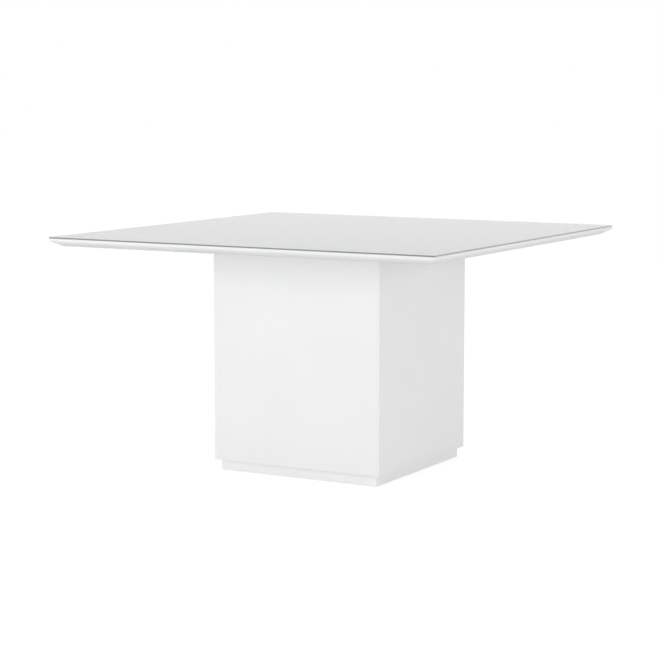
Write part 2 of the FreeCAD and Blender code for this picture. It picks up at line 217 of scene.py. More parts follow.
def pick(piece, kind, test):
    """Opens a piece for editing with those of its faces, edges or vertices selected that pass the test."""
    only(piece)
    bpy.ops.object.mode_set(mode="EDIT")
    bpy.ops.mesh.select_mode(type=kind)
    bpy.ops.mesh.select_all(action="DESELECT")
    mesh = bmesh.from_edit_mesh(piece.data)
    elements = {"VERT": mesh.verts, "EDGE": mesh.edges, "FACE": mesh.faces}[kind]
    for element in elements:
        element.select_set(test(element))
    mesh.select_flush_mode()
    bmesh.update_edit_mesh(piece.data)


def close_editing():
    bpy.ops.object.mode_set(mode="OBJECT")


def everything(element):
    return True


def runs_along(edge, axis):
    """Whether the two ends of an edge differ on an axis."""
    return abs(edge.verts[0].co[axis] - edge.verts[1].co[axis]) > SAME_PLACE


def lies_at(edge, axis, place):
    """Whether both ends of an edge are at a place on an axis."""
    return all(abs(vertex.co[axis] - place) < SAME_PLACE for vertex in edge.verts)


def saw(piece, point, outward):
    """Takes off what lies outside a plane and closes the cut."""
    pick(piece, "FACE", everything)
    bpy.ops.mesh.bisect(
        plane_co=point, plane_no=outward, use_fill=True, clear_outer=True, threshold=CUT_SNAP
    )
    close_editing()


def round_over(piece, centre, radius, first, last, cuts, half=False):
    """Planes an edge round with flat cuts that touch a cylinder, from one outward direction to another."""
    for number in range(1, cuts + 1):
        share = (number - 0.5) / cuts if half else number / (cuts + 1)
        outward = first.slerp(last, share)
        saw(piece, centre + outward * radius, outward)


def round_corners(piece, half, radius):
    """Rounds the four corners of a square board in plan."""
    for turn in range(4):
        about = quarter(turn)
        centre = about @ Vector((half - radius, half - radius, 0))
        round_over(piece, centre, radius, about @ RIGHT, about @ BACK, CORNER_CUTS)


def ease(piece, width, segments, test):
    """Rounds off the edges that pass the test."""
    pick(piece, "EDGE", test)
    bpy.ops.mesh.bevel(offset=width, segments=segments, affect="EDGES", clamp_overlap=True)
    close_editing()


def face_outwards(piece):
    pick(piece, "FACE", everything)
    bpy.ops.mesh.normals_make_consistent(inside=False)
    close_editing()


def turned(name, rings, sides=ROUND_SIDES):
    """Solid turned about the upright axis, drawn up ring by ring as (radius, level) from its foot."""
    radius, level = rings[0]
    bpy.ops.object.select_all(action="DESELECT")
    bpy.ops.mesh.primitive_circle_add(
        vertices=sides, radius=radius, fill_type="NGON",
        location=(0, 0, level), rotation=(0, 0, math.pi / sides),
    )
    bpy.ops.object.transform_apply()
    piece = named(name)
    pick(piece, "FACE", everything)
    for next_radius, next_level in rings[1:]:
        bpy.ops.mesh.extrude_region_move(TRANSFORM_OT_translate={"value": (0, 0, next_level - level)})
        ratio = next_radius / radius
        bpy.ops.transform.resize(value=(ratio, ratio, 1), center_override=(0, 0, next_level))
        radius, level = next_radius, next_level
    close_editing()
    face_outwards(piece)
    return piece


def threaded(name, radius, pitch, low, high, steps=THREAD_STEPS):
    """Screw thread about the upright axis: a V drawn up a helix, then sawn square at both ends."""
    bpy.ops.object.select_all(action="DESELECT")
    bpy.ops.mesh.primitive_plane_add(size=pitch)
    piece = named(name)
    depth = THREAD_DEPTH_SHARE * pitch
    pick(piece, "VERT", everything)
    bpy.ops.mesh.merge(type="CENTER")
    bpy.ops.transform.translate(value=(radius - depth, 0, low - SPARE_TURNS / 2 * pitch))
    for reach in (depth, -depth):
        bpy.ops.mesh.extrude_region_move(TRANSFORM_OT_translate={"value": (reach, 0, pitch / 2)})
    close_editing()
    helix = piece.modifiers.new("helix", "SCREW")
    helix.axis = "Z"
    helix.screw_offset = pitch
    helix.iterations = math.ceil((high - low) / pitch) + SPARE_TURNS
    helix.steps = steps
    helix.render_steps = steps
    bpy.ops.object.modifier_apply(modifier=helix.name)
    pick(piece, "VERT", everything)
    bpy.ops.mesh.remove_doubles(threshold=pitch / 1000)
    bpy.ops.mesh.normals_make_consistent(inside=False)
    close_editing()
    saw(piece, UP * low, DOWN)
    saw(piece, UP * high, UP)
    face_outwards(piece)
    return piece


def copied(piece, matrix):
    """Copy of a piece with a mesh of its own, moved to its place."""
    twin = piece.copy()
    twin.data = piece.data.copy()
    twin.data.transform(matrix)
    bpy.context.collection.objects.link(twin)
    return twin


def discard(piece):
    """Removes a pattern or tool that has been used up."""
    mesh = piece.data
    bpy.data.objects.remove(piece)
    bpy.data.meshes.remove(mesh)


def group(name, pattern, places):
    """Copies of a pattern at several places as one piece; the pattern itself is used up."""
    twins = [copied(pattern, place) for place in places]
    discard(pattern)
    bpy.ops.object.select_all(action="DESELECT")
    for twin in twins:
        twin.select_set(True)
    bpy.context.view_layer.objects.active = twins[0]
    if len(twins) > 1:
        bpy.ops.object.join()
    return named(name)


def combine(piece, tool, operation):
    """Cuts a tool out of a piece, or makes it one with the piece; the tool is used up."""
    only(piece)
    work = piece.modifiers.new("work", "BOOLEAN")
    work.operation = operation
    work.solver = "EXACT"
    work.object = tool
    bpy.ops.object.modifier_apply(modifier=work.name)
    discard(tool)


def drill(piece, radius, length, places, sides=ROUND_SIDES):
    """Bores holes from their mouths: each place turns the upright axis into the hole's own."""
    bit = turned("bit", [(radius, -OVERRUN), (radius, length)], sides)
    combine(piece, group("bits", bit, places), "DIFFERENCE")


def smooth(piece):
    """Shades rounded edges smoothly and keeps flat faces flat."""
    face_outwards(piece)
    only(piece)
    bpy.ops.object.shade_smooth_by_angle(angle=SMOOTH_ANGLE)
    even = piece.modifiers.new("even", "WEIGHTED_NORMAL")
    even.keep_sharp = True
    bpy.ops.object.modifier_apply(modifier=even.name)


def fit(piece, body, slot, finish, *nodes):
    """Finishes a piece and sets it on its body in place of the plain nodes."""
    smooth(piece)
    if not piece.data.materials:
        piece.data.materials.append(finish)
    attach(piece, body)
    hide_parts(*nodes)


# Finishes

class Finish:
    """A material with a Principled shader, and short ways to set up what feeds it."""

    # Most of a noise pattern lies between these two values
    NOISE_LOW = 0.3
    NOISE_HIGH = 0.7

    def __init__(self, name, **sockets):
        self.material = bpy.data.materials.new(name)
        self.material.use_nodes = True
        self.tree = self.material.node_tree
        self.shader = self.tree.nodes["Principled BSDF"]
        for socket, setting in sockets.items():
            self.shader.inputs[socket.replace("_", " ")].default_value = setting
        self.coordinates = self.add("ShaderNodeTexCoord").outputs["Object"]

    def add(self, kind, **sockets):
        node = self.tree.nodes.new(kind)
        for socket, setting in sockets.items():
            node.inputs[socket.replace("_", " ")].default_value = setting
        return node

    def link(self, source, target):
        self.tree.links.new(source, target)

    def stretched(self, stretch):
        mapping = self.add("ShaderNodeMapping", Scale=stretch)
        self.link(self.coordinates, mapping.inputs["Vector"])
        return mapping.outputs["Vector"]

    def noise(self, scale, detail=3.0, stretch=(1, 1, 1)):
        noise = self.add("ShaderNodeTexNoise", Scale=scale, Detail=detail)
        self.link(self.stretched(stretch), noise.inputs["Vector"])
        return noise.outputs["Fac"]

    def roughness(self, source, low, high):
        """Roughness that follows a noise pattern between two values."""
        spread = self.add(
            "ShaderNodeMapRange",
            From_Min=self.NOISE_LOW, From_Max=self.NOISE_HIGH, To_Min=low, To_Max=high,
        )
        self.link(source, spread.inputs["Value"])
        self.link(spread.outputs["Result"], self.shader.inputs["Roughness"])

    def colours(self, source, *stops):
        """Colours along a pattern, as (position, colour)."""
        ramp = self.add("ShaderNodeValToRGB")
        while len(ramp.color_ramp.elements) < len(stops):
            ramp.color_ramp.elements.new(0.5)
        for element, (position, colour) in zip(ramp.color_ramp.elements, stops):
            element.position = position
            element.color = (*colour, 1)
        self.link(source, ramp.inputs["Fac"])
        return ramp.outputs["Color"]

    def shades(self, source, low, high):
        """Two colours, shaded into each other by a noise pattern."""
        return self.colours(source, (self.NOISE_LOW, low), (self.NOISE_HIGH, high))

    def colour(self, source):
        self.link(source, self.shader.inputs["Base Color"])

    def bump(self, source, strength, distance):
        bump = self.add("ShaderNodeBump", Strength=strength, Distance=distance)
        self.link(source, bump.inputs["Height"])
        self.link(bump.outputs["Normal"], self.shader.inputs["Normal"])

    def pass_light(self, tint):
        """Lets lamp light, and light from other surfaces, straight through to what lies beneath."""
        path = self.add("ShaderNodeLightPath")
        film = self.add("ShaderNodeBsdfTransparent", Color=(*tint, 1))
        surface = self.shader.outputs["BSDF"]
        for rays in ("Is Shadow Ray", "Is Diffuse Ray"):
            choose = self.add("ShaderNodeMixShader")
            self.link(path.outputs[rays], choose.inputs[0])
            self.link(surface, choose.inputs[1])
            self.link(film.outputs["BSDF"], choose.inputs[2])
            surface = choose.outputs["Shader"]
        self.link(surface, self.tree.nodes["Material Output"].inputs["Surface"])


def white_lacquer(name, dark, light):
    """Satin sprayed lacquer: a trace of cloudiness in the white, uneven gloss and fine orange peel."""
    finish = Finish(name, IOR=1.46)
    finish.colour(finish.shades(finish.noise(scale=4.0), dark, light))
    finish.roughness(finish.noise(scale=55.0), 0.32, 0.42)
    finish.bump(finish.noise(scale=700.0, detail=2.0), strength=0.05, distance=0.0002)
    return finish.material


def primed_board():
    """Matt primer over fibreboard, on the faces inside the box: fibres show faintly through it."""
    finish = Finish("primed_board", IOR=1.45)
    fibre = finish.noise(scale=260.0, detail=5.0)
    finish.colour(finish.colours(fibre, (0.25, (0.60, 0.58, 0.54)), (0.75, (0.72, 0.71, 0.68))))
    finish.roughness(finish.noise(scale=90.0), 0.6, 0.8)
    finish.bump(fibre, strength=0.15, distance=0.0003)
    return finish.material


def clear_glass():
    """Clear float glass with a trace of green and faint smears in the polish."""
    finish = Finish("float_glass", IOR=1.52, Transmission_Weight=1.0)
    smear = finish.noise(scale=9.0, detail=4.0, stretch=(1, 3, 1))
    finish.colour(finish.shades(smear, (0.958, 0.970, 0.964), (0.967, 0.978, 0.973)))
    finish.roughness(smear, 0.0, 0.015)
    finish.pass_light((0.960, 0.970, 0.965))
    return finish.material


def glass_edge():
    """Ground edge of the sheet, where the glass shows its green, with fine lines left by the wheel."""
    finish = Finish("glass_edge", IOR=1.52, Specular_IOR_Level=0.1, Sheen_Weight=1.0, Sheen_Roughness=0.8)
    wheel = finish.noise(scale=40.0, detail=4.0, stretch=(1, 1, 60))
    finish.colour(finish.shades(wheel, (0.016, 0.068, 0.048), (0.044, 0.100, 0.078)))
    finish.roughness(wheel, 0.16, 0.30)
    finish.bump(wheel, strength=0.08, distance=0.0002)
    return finish.material


def clear_silicone():
    """Soft clear silicone, slightly cloudy."""
    finish = Finish("pad_silicone", IOR=1.41, Transmission_Weight=0.7)
    cloud = finish.noise(scale=300.0)
    finish.colour(finish.shades(cloud, (0.80, 0.82, 0.80), (0.88, 0.89, 0.88)))
    finish.roughness(cloud, 0.25, 0.4)
    finish.bump(cloud, strength=0.1, distance=0.0001)
    finish.pass_light((0.90, 0.91, 0.90))
    return finish.material


def softwood(axis):
    """Planed softwood with its grain along one axis: dark and pale growth bands, with fine fibres."""
    finish = Finish(f"softwood_{'xyz'[axis]}", IOR=1.45)
    band_stretch = [1.0, 1.0, 1.0]
    band_stretch[axis] = 0.06
    fibre_stretch = [1.0, 1.0, 1.0]
    fibre_stretch[axis] = 0.03
    bands = finish.add("ShaderNodeTexWave", Scale=22.0, Distortion=7.0, Detail=3.0, Detail_Scale=1.2)
    bands.bands_direction = "DIAGONAL"
    finish.link(finish.stretched(band_stretch), bands.inputs["Vector"])
    band_colour = finish.colours(
        bands.outputs["Fac"],
        (0.0, (0.64, 0.46, 0.27)), (0.55, (0.72, 0.55, 0.35)), (1.0, (0.50, 0.31, 0.15)),
    )
    fibre = finish.noise(scale=900.0, detail=3.0, stretch=fibre_stretch)
    tint = finish.shades(fibre, (0.86, 0.84, 0.80), (1.0, 1.0, 1.0))
    mix = finish.add("ShaderNodeMix")
    mix.data_type = "RGBA"
    mix.blend_type = "MULTIPLY"
    mix.inputs["Factor"].default_value = 1.0
    # A Mix node's sockets for colours come after those for numbers and vectors
    first_colour, second_colour, mixed_colour = mix.inputs[6], mix.inputs[7], mix.outputs[2]
    finish.link(band_colour, first_colour)
    finish.link(tint, second_colour)
    finish.colour(mixed_colour)
    finish.roughness(fibre, 0.55, 0.75)
    finish.bump(fibre, strength=0.2, distance=0.0003)
    return finish.material


def zinc_steel():
    """Zinc plating: a grey with bluish and yellowish clouds and an uneven shine."""
    finish = Finish("zinc_plating", Metallic=1.0)
    cloud = finish.noise(scale=160.0, detail=4.0)
    finish.colour(finish.colours(
        cloud, (0.25, (0.56, 0.58, 0.62)), (0.5, (0.64, 0.65, 0.65)), (0.75, (0.66, 0.64, 0.58)),
    ))
    finish.roughness(finish.noise(scale=420.0), 0.22, 0.4)
    finish.bump(finish.noise(scale=1500.0, detail=2.0), strength=0.06, distance=0.0001)
    return finish.material


def black_plastic():
    """Moulded black plastic with a fine grain."""
    finish = Finish("foot_plastic", IOR=1.47)
    grain = finish.noise(scale=1400.0, detail=2.0)
    finish.colour(finish.shades(grain, (0.018, 0.018, 0.019), (0.032, 0.032, 0.033)))
    finish.roughness(grain, 0.42, 0.58)
    finish.bump(grain, strength=0.2, distance=0.0002)
    return finish.material


LACQUER = white_lacquer("satin_lacquer", (0.855, 0.860, 0.859), (0.875, 0.878, 0.876))
# The plinth's white is a lighter copy of the same lacquer: painted light that cancels the shade in the
# plinth's recess.
PLINTH_PAINTED_LIGHTER = white_lacquer("plinth_lacquer_painted_lighter", (0.912, 0.917, 0.916), (0.928, 0.931, 0.929))
PRIMER = primed_board()
GLASS = clear_glass()
GLASS_EDGE = glass_edge()
SILICONE = clear_silicone()
SOFTWOOD = [softwood(axis) for axis in (X, Y, Z)]
ZINC = zinc_steel()
PLASTIC = black_plastic()


def two_finishes(piece, main, other, test):
    """Main finish all over, and another one on the faces that pass the test."""
    piece.data.materials.append(main)
    piece.data.materials.append(other)
    for face in piece.data.polygons:
        face.material_index = int(test(face))


# Places taken from the plain nodes

TOP_LOW, TOP_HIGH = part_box("top_panel")
BATTEN_LOW, BATTEN_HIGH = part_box("mounting_rail_front")
BATTEN_MIDDLE = (BATTEN_LOW + BATTEN_HIGH) / 2
BATTEN_WIDTH = BATTEN_HIGH.y - BATTEN_LOW.y
PANEL_LOW, PANEL_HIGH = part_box("side_panel_front")
PLINTH_LOW, PLINTH_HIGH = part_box("plinth_rail_front")
PLINTH_THICK = PLINTH_HIGH.y - PLINTH_LOW.y
CARRIER_LOW, CARRIER_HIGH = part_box("foot_block_front_left")

BOLT_ALONG = BATTEN_HIGH.x - BOLT_FROM_END
BOLT_MOUTHS = [(end * BOLT_ALONG, BATTEN_MIDDLE.y) for end in (-1, 1)]
BATTEN_SCREW_ALONG = BATTEN_HIGH.x - BATTEN_SCREW_FROM_END
PLINTH_SCREW_ALONG = -CARRIER_HIGH.x - PLINTH_SCREW_FROM_BLOCK
PLINTH_SCREW_LEVEL = (PLINTH_HIGH.z + PANEL_LOW.z) / 2

# Turns of the upright axis at the front of the box, to point into it and out of it
INWARDS = Matrix.Rotation(-math.pi / 2, 4, "X")
OUTWARDS = Matrix.Rotation(math.pi / 2, 4, "X")


def under_top(level):
    """Upright places at the eight bolts."""
    return [
        quarter(turn) @ Matrix.Translation((x, y, level))
        for turn in range(len(SIDES)) for x, y in BOLT_MOUTHS
    ]


def screw_mouths(along, face, level, turned_by):
    """The two places at which screws enter the front board, with the upright axis turned along them."""
    return [Matrix.Translation((end * along, face, level)) @ turned_by for end in (-1, 1)]


def make_top():
    """Lacquered board: each bevel is sawn, its round planed, then the corners are rounded in plan."""
    board = add_block("lacquered_top", TOP_LOW, TOP_HIGH)
    half, under = TOP_HIGH.x, TOP_LOW.z
    knee = TOP_HIGH.z - LIP_HEIGHT
    drop = knee - under
    slant = math.hypot(drop, BEVEL_INSET)
    setback = LIP_ROUND * (slant - drop) / BEVEL_INSET
    for turn in range(4):
        about = quarter(turn)
        bevel_out = about @ Vector((drop, 0, -BEVEL_INSET)).normalized()
        saw(board, about @ Vector((half, 0, knee)), bevel_out)
        centre = about @ Vector((half - LIP_ROUND, 0, knee + setback))
        round_over(board, centre, LIP_ROUND, about @ RIGHT, bevel_out, LIP_CUTS)
    round_corners(board, half, TOP_CORNER)
    ease(board, EASED, EASED_STEPS, lambda edge: lies_at(edge, Z, TOP_HIGH.z))
    drill(board, INSERT_RADIUS + THREAD_GAP, INSERT_LENGTH, under_top(under))

    def in_insert_hole(face):
        central = max(abs(face.center.x), abs(face.center.y)) < half / 2
        return central and face.center.z > under + INSERT_LENGTH / 4 and face.normal.z < FACING

    two_finishes(board, LACQUER, PRIMER, in_insert_hole)
    fit(board, "table", "white_lacquer", LACQUER, "top_panel")


def make_glass():
    """Glass sheet with a ground edge all round."""
    low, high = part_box("glass_top")
    sheet = add_block("glass_sheet", low, high)
    round_corners(sheet, high.x, GLASS_CORNER)
    ease(
        sheet, GLASS_ARRIS, EASED_STEPS,
        lambda edge: lies_at(edge, Z, low.z) or lies_at(edge, Z, high.z),
    )
    two_finishes(sheet, GLASS, GLASS_EDGE, lambda face: abs(face.normal.z) < FLAT)
    fit(sheet, "table", "clear_glass", GLASS, "glass_top")


def make_pads():
    """Clear pads in rows between the board and the glass, rounded at their corners and upper edges."""
    sheet_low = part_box("glass_top")[0]
    thick = sheet_low.z - TOP_HIGH.z
    pad_half = PAD_SIDE / 2
    pad_low = Vector((-pad_half, -pad_half, TOP_HIGH.z))
    pad = add_block("pad", pad_low, Vector((pad_half, pad_half, sheet_low.z)))
    ease(pad, PAD_CORNER, PAD_CORNER_STEPS, lambda edge: runs_along(edge, Z))
    ease(pad, thick / 4, EASED_STEPS, lambda edge: lies_at(edge, Z, sheet_low.z))
    first = sheet_low.x + PAD_EDGE + PAD_SIDE / 2
    step = -2 * first / (PADS_PER_SIDE - 1)
    spots = [first + number * step for number in range(PADS_PER_SIDE)]
    pads = group("glass_cushions", pad, [Matrix.Translation((x, y, 0)) for x in spots for y in spots])
    fit(pads, "table", "clear_silicone", SILICONE, "glass_pads")


def mitred_board(name, low, high):
    """Front board of a mitred box: each end is sawn at 45 degrees and takes half of the round arris."""
    board = add_block(name, low, high)
    for end in (-1, 1):
        saw(board, Vector(), Vector((end, 1, 0)).normalized())
        centre = Vector((end * (high.x - ARRIS_ROUND), low.y + ARRIS_ROUND, 0))
        corner_out = Vector((end, -1, 0)).normalized()
        round_over(board, centre, ARRIS_ROUND, FRONT, corner_out, ARRIS_CUTS, half=True)
    ease(board, EASED, EASED_STEPS, lambda edge: lies_at(edge, Z, low.z) and lies_at(edge, Y, low.y))
    return board


def finish_board(board, inner, lacquer):
    """Lacquer outside, and primer on the inner face, the mitres and the screw holes."""
    two_finishes(board, lacquer, PRIMER, lambda face: face.normal.y > FACING
                 or (face.center.y > inner - SCREW_BITE and abs(face.normal.z) < FLAT))


def make_box():
    """Four panels of the box and four boards of the plinth, each modelled once at the front."""
    hole = SCREW_RADIUS + THREAD_GAP
    panel = mitred_board("panel", PANEL_LOW, PANEL_HIGH)
    inside = PANEL_HIGH.y
    mouths = screw_mouths(BATTEN_SCREW_ALONG, inside, BATTEN_MIDDLE.z, OUTWARDS)
    mouths += screw_mouths(PLINTH_SCREW_ALONG, inside, PLINTH_SCREW_LEVEL, OUTWARDS)
    drill(panel, hole, SCREW_BITE + THREAD_GAP, mouths, SCREW_SIDES)
    finish_board(panel, inside, LACQUER)

    rail = mitred_board("rail", PLINTH_LOW, PLINTH_HIGH)
    mouths = screw_mouths(PLINTH_SCREW_ALONG, PLINTH_HIGH.y, PLINTH_SCREW_LEVEL, OUTWARDS)
    drill(rail, hole, 2 * PLINTH_THICK, mouths, SCREW_SIDES)
    # The plinth boards take the lighter white, which is painted light against the shade of their recess.
    finish_board(rail, PLINTH_HIGH.y, PLINTH_PAINTED_LIGHTER)

    boards = ((panel, "box_panel", "side_panel"), (rail, "plinth_board", "plinth_rail"))
    for turn, side in enumerate(SIDES):
        for board, name, node in boards:
            twin = copied(board, quarter(turn))
            twin.name = f"{name}_{side}"
            fit(twin, "table", "white_lacquer", LACQUER, f"{node}_{side}")
    discard(panel)
    discard(rail)


def make_battens():
    """Battens under the top, bored for the bolts and for the screws into the panels."""
    batten = add_block("batten", BATTEN_LOW, BATTEN_HIGH)
    ease(batten, WOOD_EASED, WOOD_EASED_STEPS, lambda edge: runs_along(edge, X))
    bolt_mouths = [Matrix.Translation((x, y, BATTEN_LOW.z)) for x, y in BOLT_MOUTHS]
    drill(batten, BOLT_RADIUS + BOLT_CLEAR, 2 * (BATTEN_HIGH.z - BATTEN_LOW.z), bolt_mouths)
    mouths = screw_mouths(BATTEN_SCREW_ALONG, BATTEN_HIGH.y, BATTEN_MIDDLE.z, OUTWARDS)
    drill(batten, SCREW_RADIUS + THREAD_GAP, 2 * BATTEN_WIDTH, mouths, SCREW_SIDES)
    for turn, side in enumerate(SIDES):
        twin = copied(batten, quarter(turn))
        twin.name = f"batten_{side}"
        fit(twin, "table", "softwood", SOFTWOOD[turn % 2], f"mounting_rail_{side}")
    discard(batten)


def make_corner_blocks():
    """Glue blocks in the corners of the box, sawn off across and eased on the edges that show."""
    low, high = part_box("corner_block_front_left")
    block = add_block("block", low, high)
    saw(block, Vector((high.x, low.y + BLOCK_TIP, 0)), Vector((1, 1, 0)).normalized())

    def upright_and_showing(edge):
        end = edge.verts[0].co
        return runs_along(edge, Z) and end.x + end.y > low.x + low.y + BLOCK_TIP

    ease(block, WOOD_EASED, WOOD_EASED_STEPS, upright_and_showing)
    for turn, corner in enumerate(CORNERS):
        twin = copied(block, quarter(turn))
        twin.name = f"glue_block_{corner}"
        fit(twin, "table", "softwood", SOFTWOOD[Z], f"corner_block_{corner}")
    discard(block)


def make_bolts():
    """Button-head bolts with a hexagon socket, their washers, and the threaded inserts in the top."""
    bearing = BATTEN_LOW.z - WASHER_THICK
    reach = BATTEN_HIGH.z + INSERT_LENGTH - BOLT_SHORT - bearing
    dome = [
        (BOLT_HEAD_RADIUS * math.cos(angle), -BOLT_HEAD_HEIGHT * math.sin(angle) / math.sin(BOLT_CROWN))
        for angle in (BOLT_CROWN * step / BOLT_CROWN_STEPS for step in range(BOLT_CROWN_STEPS, -1, -1))
    ]
    bolt = turned("bolt", dome + [(BOLT_RADIUS, 0), (BOLT_RADIUS, BOLT_NECK)])
    socket_radius = SOCKET_FLATS / math.sqrt(3)
    socket_rings = [
        (socket_radius, -2 * BOLT_HEAD_HEIGHT), (socket_radius, SOCKET_DEPTH - BOLT_HEAD_HEIGHT),
    ]
    combine(bolt, turned("socket", socket_rings, HEXAGON), "DIFFERENCE")
    shank = threaded("shank", BOLT_RADIUS, BOLT_PITCH, BOLT_NECK / 2, reach, SHANK_STEPS)
    combine(bolt, shank, "UNION")
    bolts = group("button_bolts", bolt, under_top(bearing))
    fit(bolts, "table", "zinc_steel", ZINC, "top_bolts")

    # The outermost washers stand on the battens' middle line, so what reaches beyond it is their radius
    washers_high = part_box("bolt_washers")[1]
    radius = washers_high.x + BATTEN_MIDDLE.y
    rim = WASHER_THICK / 5
    washer = turned("washer", [
        (radius - rim, 0), (radius, rim), (radius, WASHER_THICK - rim), (radius - rim, WASHER_THICK),
    ])
    drill(washer, BOLT_RADIUS + BOLT_CLEAR, 2 * WASHER_THICK, [HERE])
    washers = group("flat_washers", washer, under_top(bearing))
    fit(washers, "table", "zinc_steel", ZINC, "bolt_washers")

    insert = threaded("insert", INSERT_RADIUS, INSERT_PITCH, 0, INSERT_LENGTH)
    drill(insert, BOLT_RADIUS + THREAD_GAP, 2 * INSERT_LENGTH, [HERE])
    inserts = group("board_inserts", insert, under_top(TOP_LOW.z))
    fit(inserts, "table", "zinc_steel", ZINC, "top_inserts")


def make_screws(name, node, along, face, level, through):
    """Pan-head screws with a cross recess, driven outwards from inside the box."""
    length = through + SCREW_BITE
    neck = SCREW_RADIUS * SCREW_NECK_SHARE
    dome = [
        (SCREW_HEAD_RADIUS * math.cos(angle), SCREW_HEAD_HEIGHT * math.sin(angle))
        for angle in map(math.radians, SCREW_HEAD_ANGLES)
    ]
    crown = (dome[-1][0] * SCREW_CROWN_SHARE, SCREW_HEAD_HEIGHT)
    screw = turned("screw", [(neck, -SCREW_NECK), (neck, 0)] + dome + [crown], SCREW_HEAD_SIDES)
    slot_half = Vector((RECESS_LONG / 2, RECESS_WIDE / 2, 0))
    slot_floor = UP * (SCREW_HEAD_HEIGHT - RECESS_DEEP)
    for turn in range(2):
        slot = add_block("slot", slot_floor - slot_half, UP * CLEAR_ABOVE + slot_half)
        slot.data.transform(quarter(turn))
        combine(screw, slot, "DIFFERENCE")
    thread_low = SCREW_POINT - length
    shank = threaded("shank", SCREW_RADIUS, SCREW_PITCH, thread_low, -SCREW_NECK / 2, SHANK_STEPS)
    combine(screw, shank, "UNION")
    point_radius = SCREW_RADIUS * SCREW_POINT_SHARE
    point = turned("point", [
        (SCREW_POINT_END, -length),
        (point_radius, SCREW_POINT - length),
        (point_radius, 2 * SCREW_POINT - length),
    ], SCREW_SIDES)
    combine(screw, point, "UNION")
    pick(screw, "VERT", everything)
    bpy.ops.mesh.remove_doubles(threshold=SCREW_MERGE)
    close_editing()
    places = [
        quarter(turn) @ mouth
        for turn in range(len(SIDES)) for mouth in screw_mouths(along, face, level, INWARDS)
    ]
    screws = group(name, screw, places)
    fit(screws, "table", "zinc_steel", ZINC, node)


def foot_disc(radius, height):
    """Plastic disc: hollow underneath, with an eased rim, a sloping shoulder and a socket for the stud."""
    socket = STUD_RADIUS + THREAD_GAP
    return turned("base", [
        (radius * DISC_HOLLOW_SHARE, DISC_EASED),
        (radius * DISC_STAND_SHARE, 0),
        (radius - DISC_EASED, 0),
        (radius, DISC_EASED),
        (radius, DISC_RIM),
        (radius - DISC_SHOULDER_INSET, DISC_SHOULDER),
        (radius * DISC_SLOPE_SHARE, height - DISC_EASED),
        (radius * DISC_TOP_SHARE, height),
        (socket, height),
        (socket, height - FOOT_SOCKET),
    ], FOOT_SIDES)


def foot_thread(disc_height, low, high):
    """Stud: a plain pin in the disc, a hexagon collar with its corners turned off, and a thread."""
    collar_top = disc_height + COLLAR_HEIGHT
    corner = COLLAR_FLATS / math.sqrt(3)
    stud = turned("collar", [(corner, disc_height), (corner, collar_top)], HEXAGON)
    lathe = turned("lathe", [
        (COLLAR_FLATS / 2, disc_height),
        (corner, disc_height + COLLAR_TURNED_OFF),
        (corner, collar_top - COLLAR_TURNED_OFF),
        (COLLAR_FLATS / 2, collar_top),
    ], FOOT_SIDES)
    combine(stud, lathe, "INTERSECT")
    pin = turned("pin", [
        (STUD_RADIUS - PIN_CHAMFER, low),
        (STUD_RADIUS, low + PIN_CHAMFER),
        (STUD_RADIUS, disc_height + OVERRUN),
    ])
    combine(stud, pin, "UNION")
    combine(stud, threaded("thread", STUD_RADIUS, STUD_PITCH, collar_top - OVERRUN, high), "UNION")
    return stud


def make_feet():
    """Levelling feet: discs and studs ride on their own bodies, their blocks and inserts on the table."""
    disc_low, disc_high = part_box("foot_base_front_left")
    stud_low, stud_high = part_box("foot_stud_front_left")
    centre = (disc_low + disc_high) / 2
    axis = Vector((centre.x, centre.y, 0))
    to_place = Matrix.Translation(axis)
    disc = foot_disc((disc_high.x - disc_low.x) / 2, disc_high.z)
    stud = foot_thread(disc_high.z, stud_low.z, stud_high.z)
    for pattern in (disc, stud):
        pattern.data.transform(to_place)

    block = add_block("foot_carrier", CARRIER_LOW, CARRIER_HIGH)
    ease(
        block, WOOD_EASED, WOOD_EASED_STEPS,
        lambda edge: lies_at(edge, X, CARRIER_HIGH.x) or lies_at(edge, Y, CARRIER_HIGH.y),
    )
    under = CARRIER_LOW.z
    mouth = Matrix.Translation(axis + UP * under)
    drill(block, STUD_RADIUS + STUD_CLEAR, 2 * (CARRIER_HIGH.z - under), [mouth])
    drill(block, FOOT_INSERT_RADIUS + THREAD_GAP, FOOT_INSERT_LENGTH, [mouth])

    for turn, corner in enumerate(CORNERS):
        for pattern, name, body, slot, finish, node in (
            (disc, "foot_disc", f"foot_{corner}", "black_plastic", PLASTIC, "foot_base"),
            (stud, "foot_thread", f"foot_{corner}", "zinc_steel", ZINC, "foot_stud"),
            (block, "foot_carrier", "table", "softwood", SOFTWOOD[Z], "foot_block"),
        ):
            twin = copied(pattern, quarter(turn))
            twin.name = f"{name}_{corner}"
            fit(twin, body, slot, finish, f"{node}_{corner}")
    for pattern in (disc, stud, block):
        discard(pattern)

    insert = threaded("insert", FOOT_INSERT_RADIUS, FOOT_INSERT_PITCH, under, under + FOOT_INSERT_LENGTH)
    drill(insert, STUD_RADIUS + THREAD_GAP, 2 * FOOT_INSERT_LENGTH, [Matrix.Translation(UP * under)])
    inserts = group("carrier_inserts", insert, [quarter(turn) @ to_place for turn in range(4)])
    fit(inserts, "table", "zinc_steel", ZINC, "foot_inserts")


# Studio

def grey(level):
    return (level, level, level, 1)


def add_softbox(name, location, target, width, height, power):
    """Rectangular lamp that faces a target and isn't seen itself."""
    light = bpy.data.lights.new(name, "AREA")
    light.shape = "RECTANGLE"
    light.size = width
    light.size_y = height
    light.energy = power
    lamp = bpy.data.objects.new(name, light)
    lamp.location = location
    lamp.rotation_euler = (Vector(target) - lamp.location).to_track_quat("-Z", "Y").to_euler()
    lamp.visible_camera = False
    bpy.context.scene.collection.objects.link(lamp)


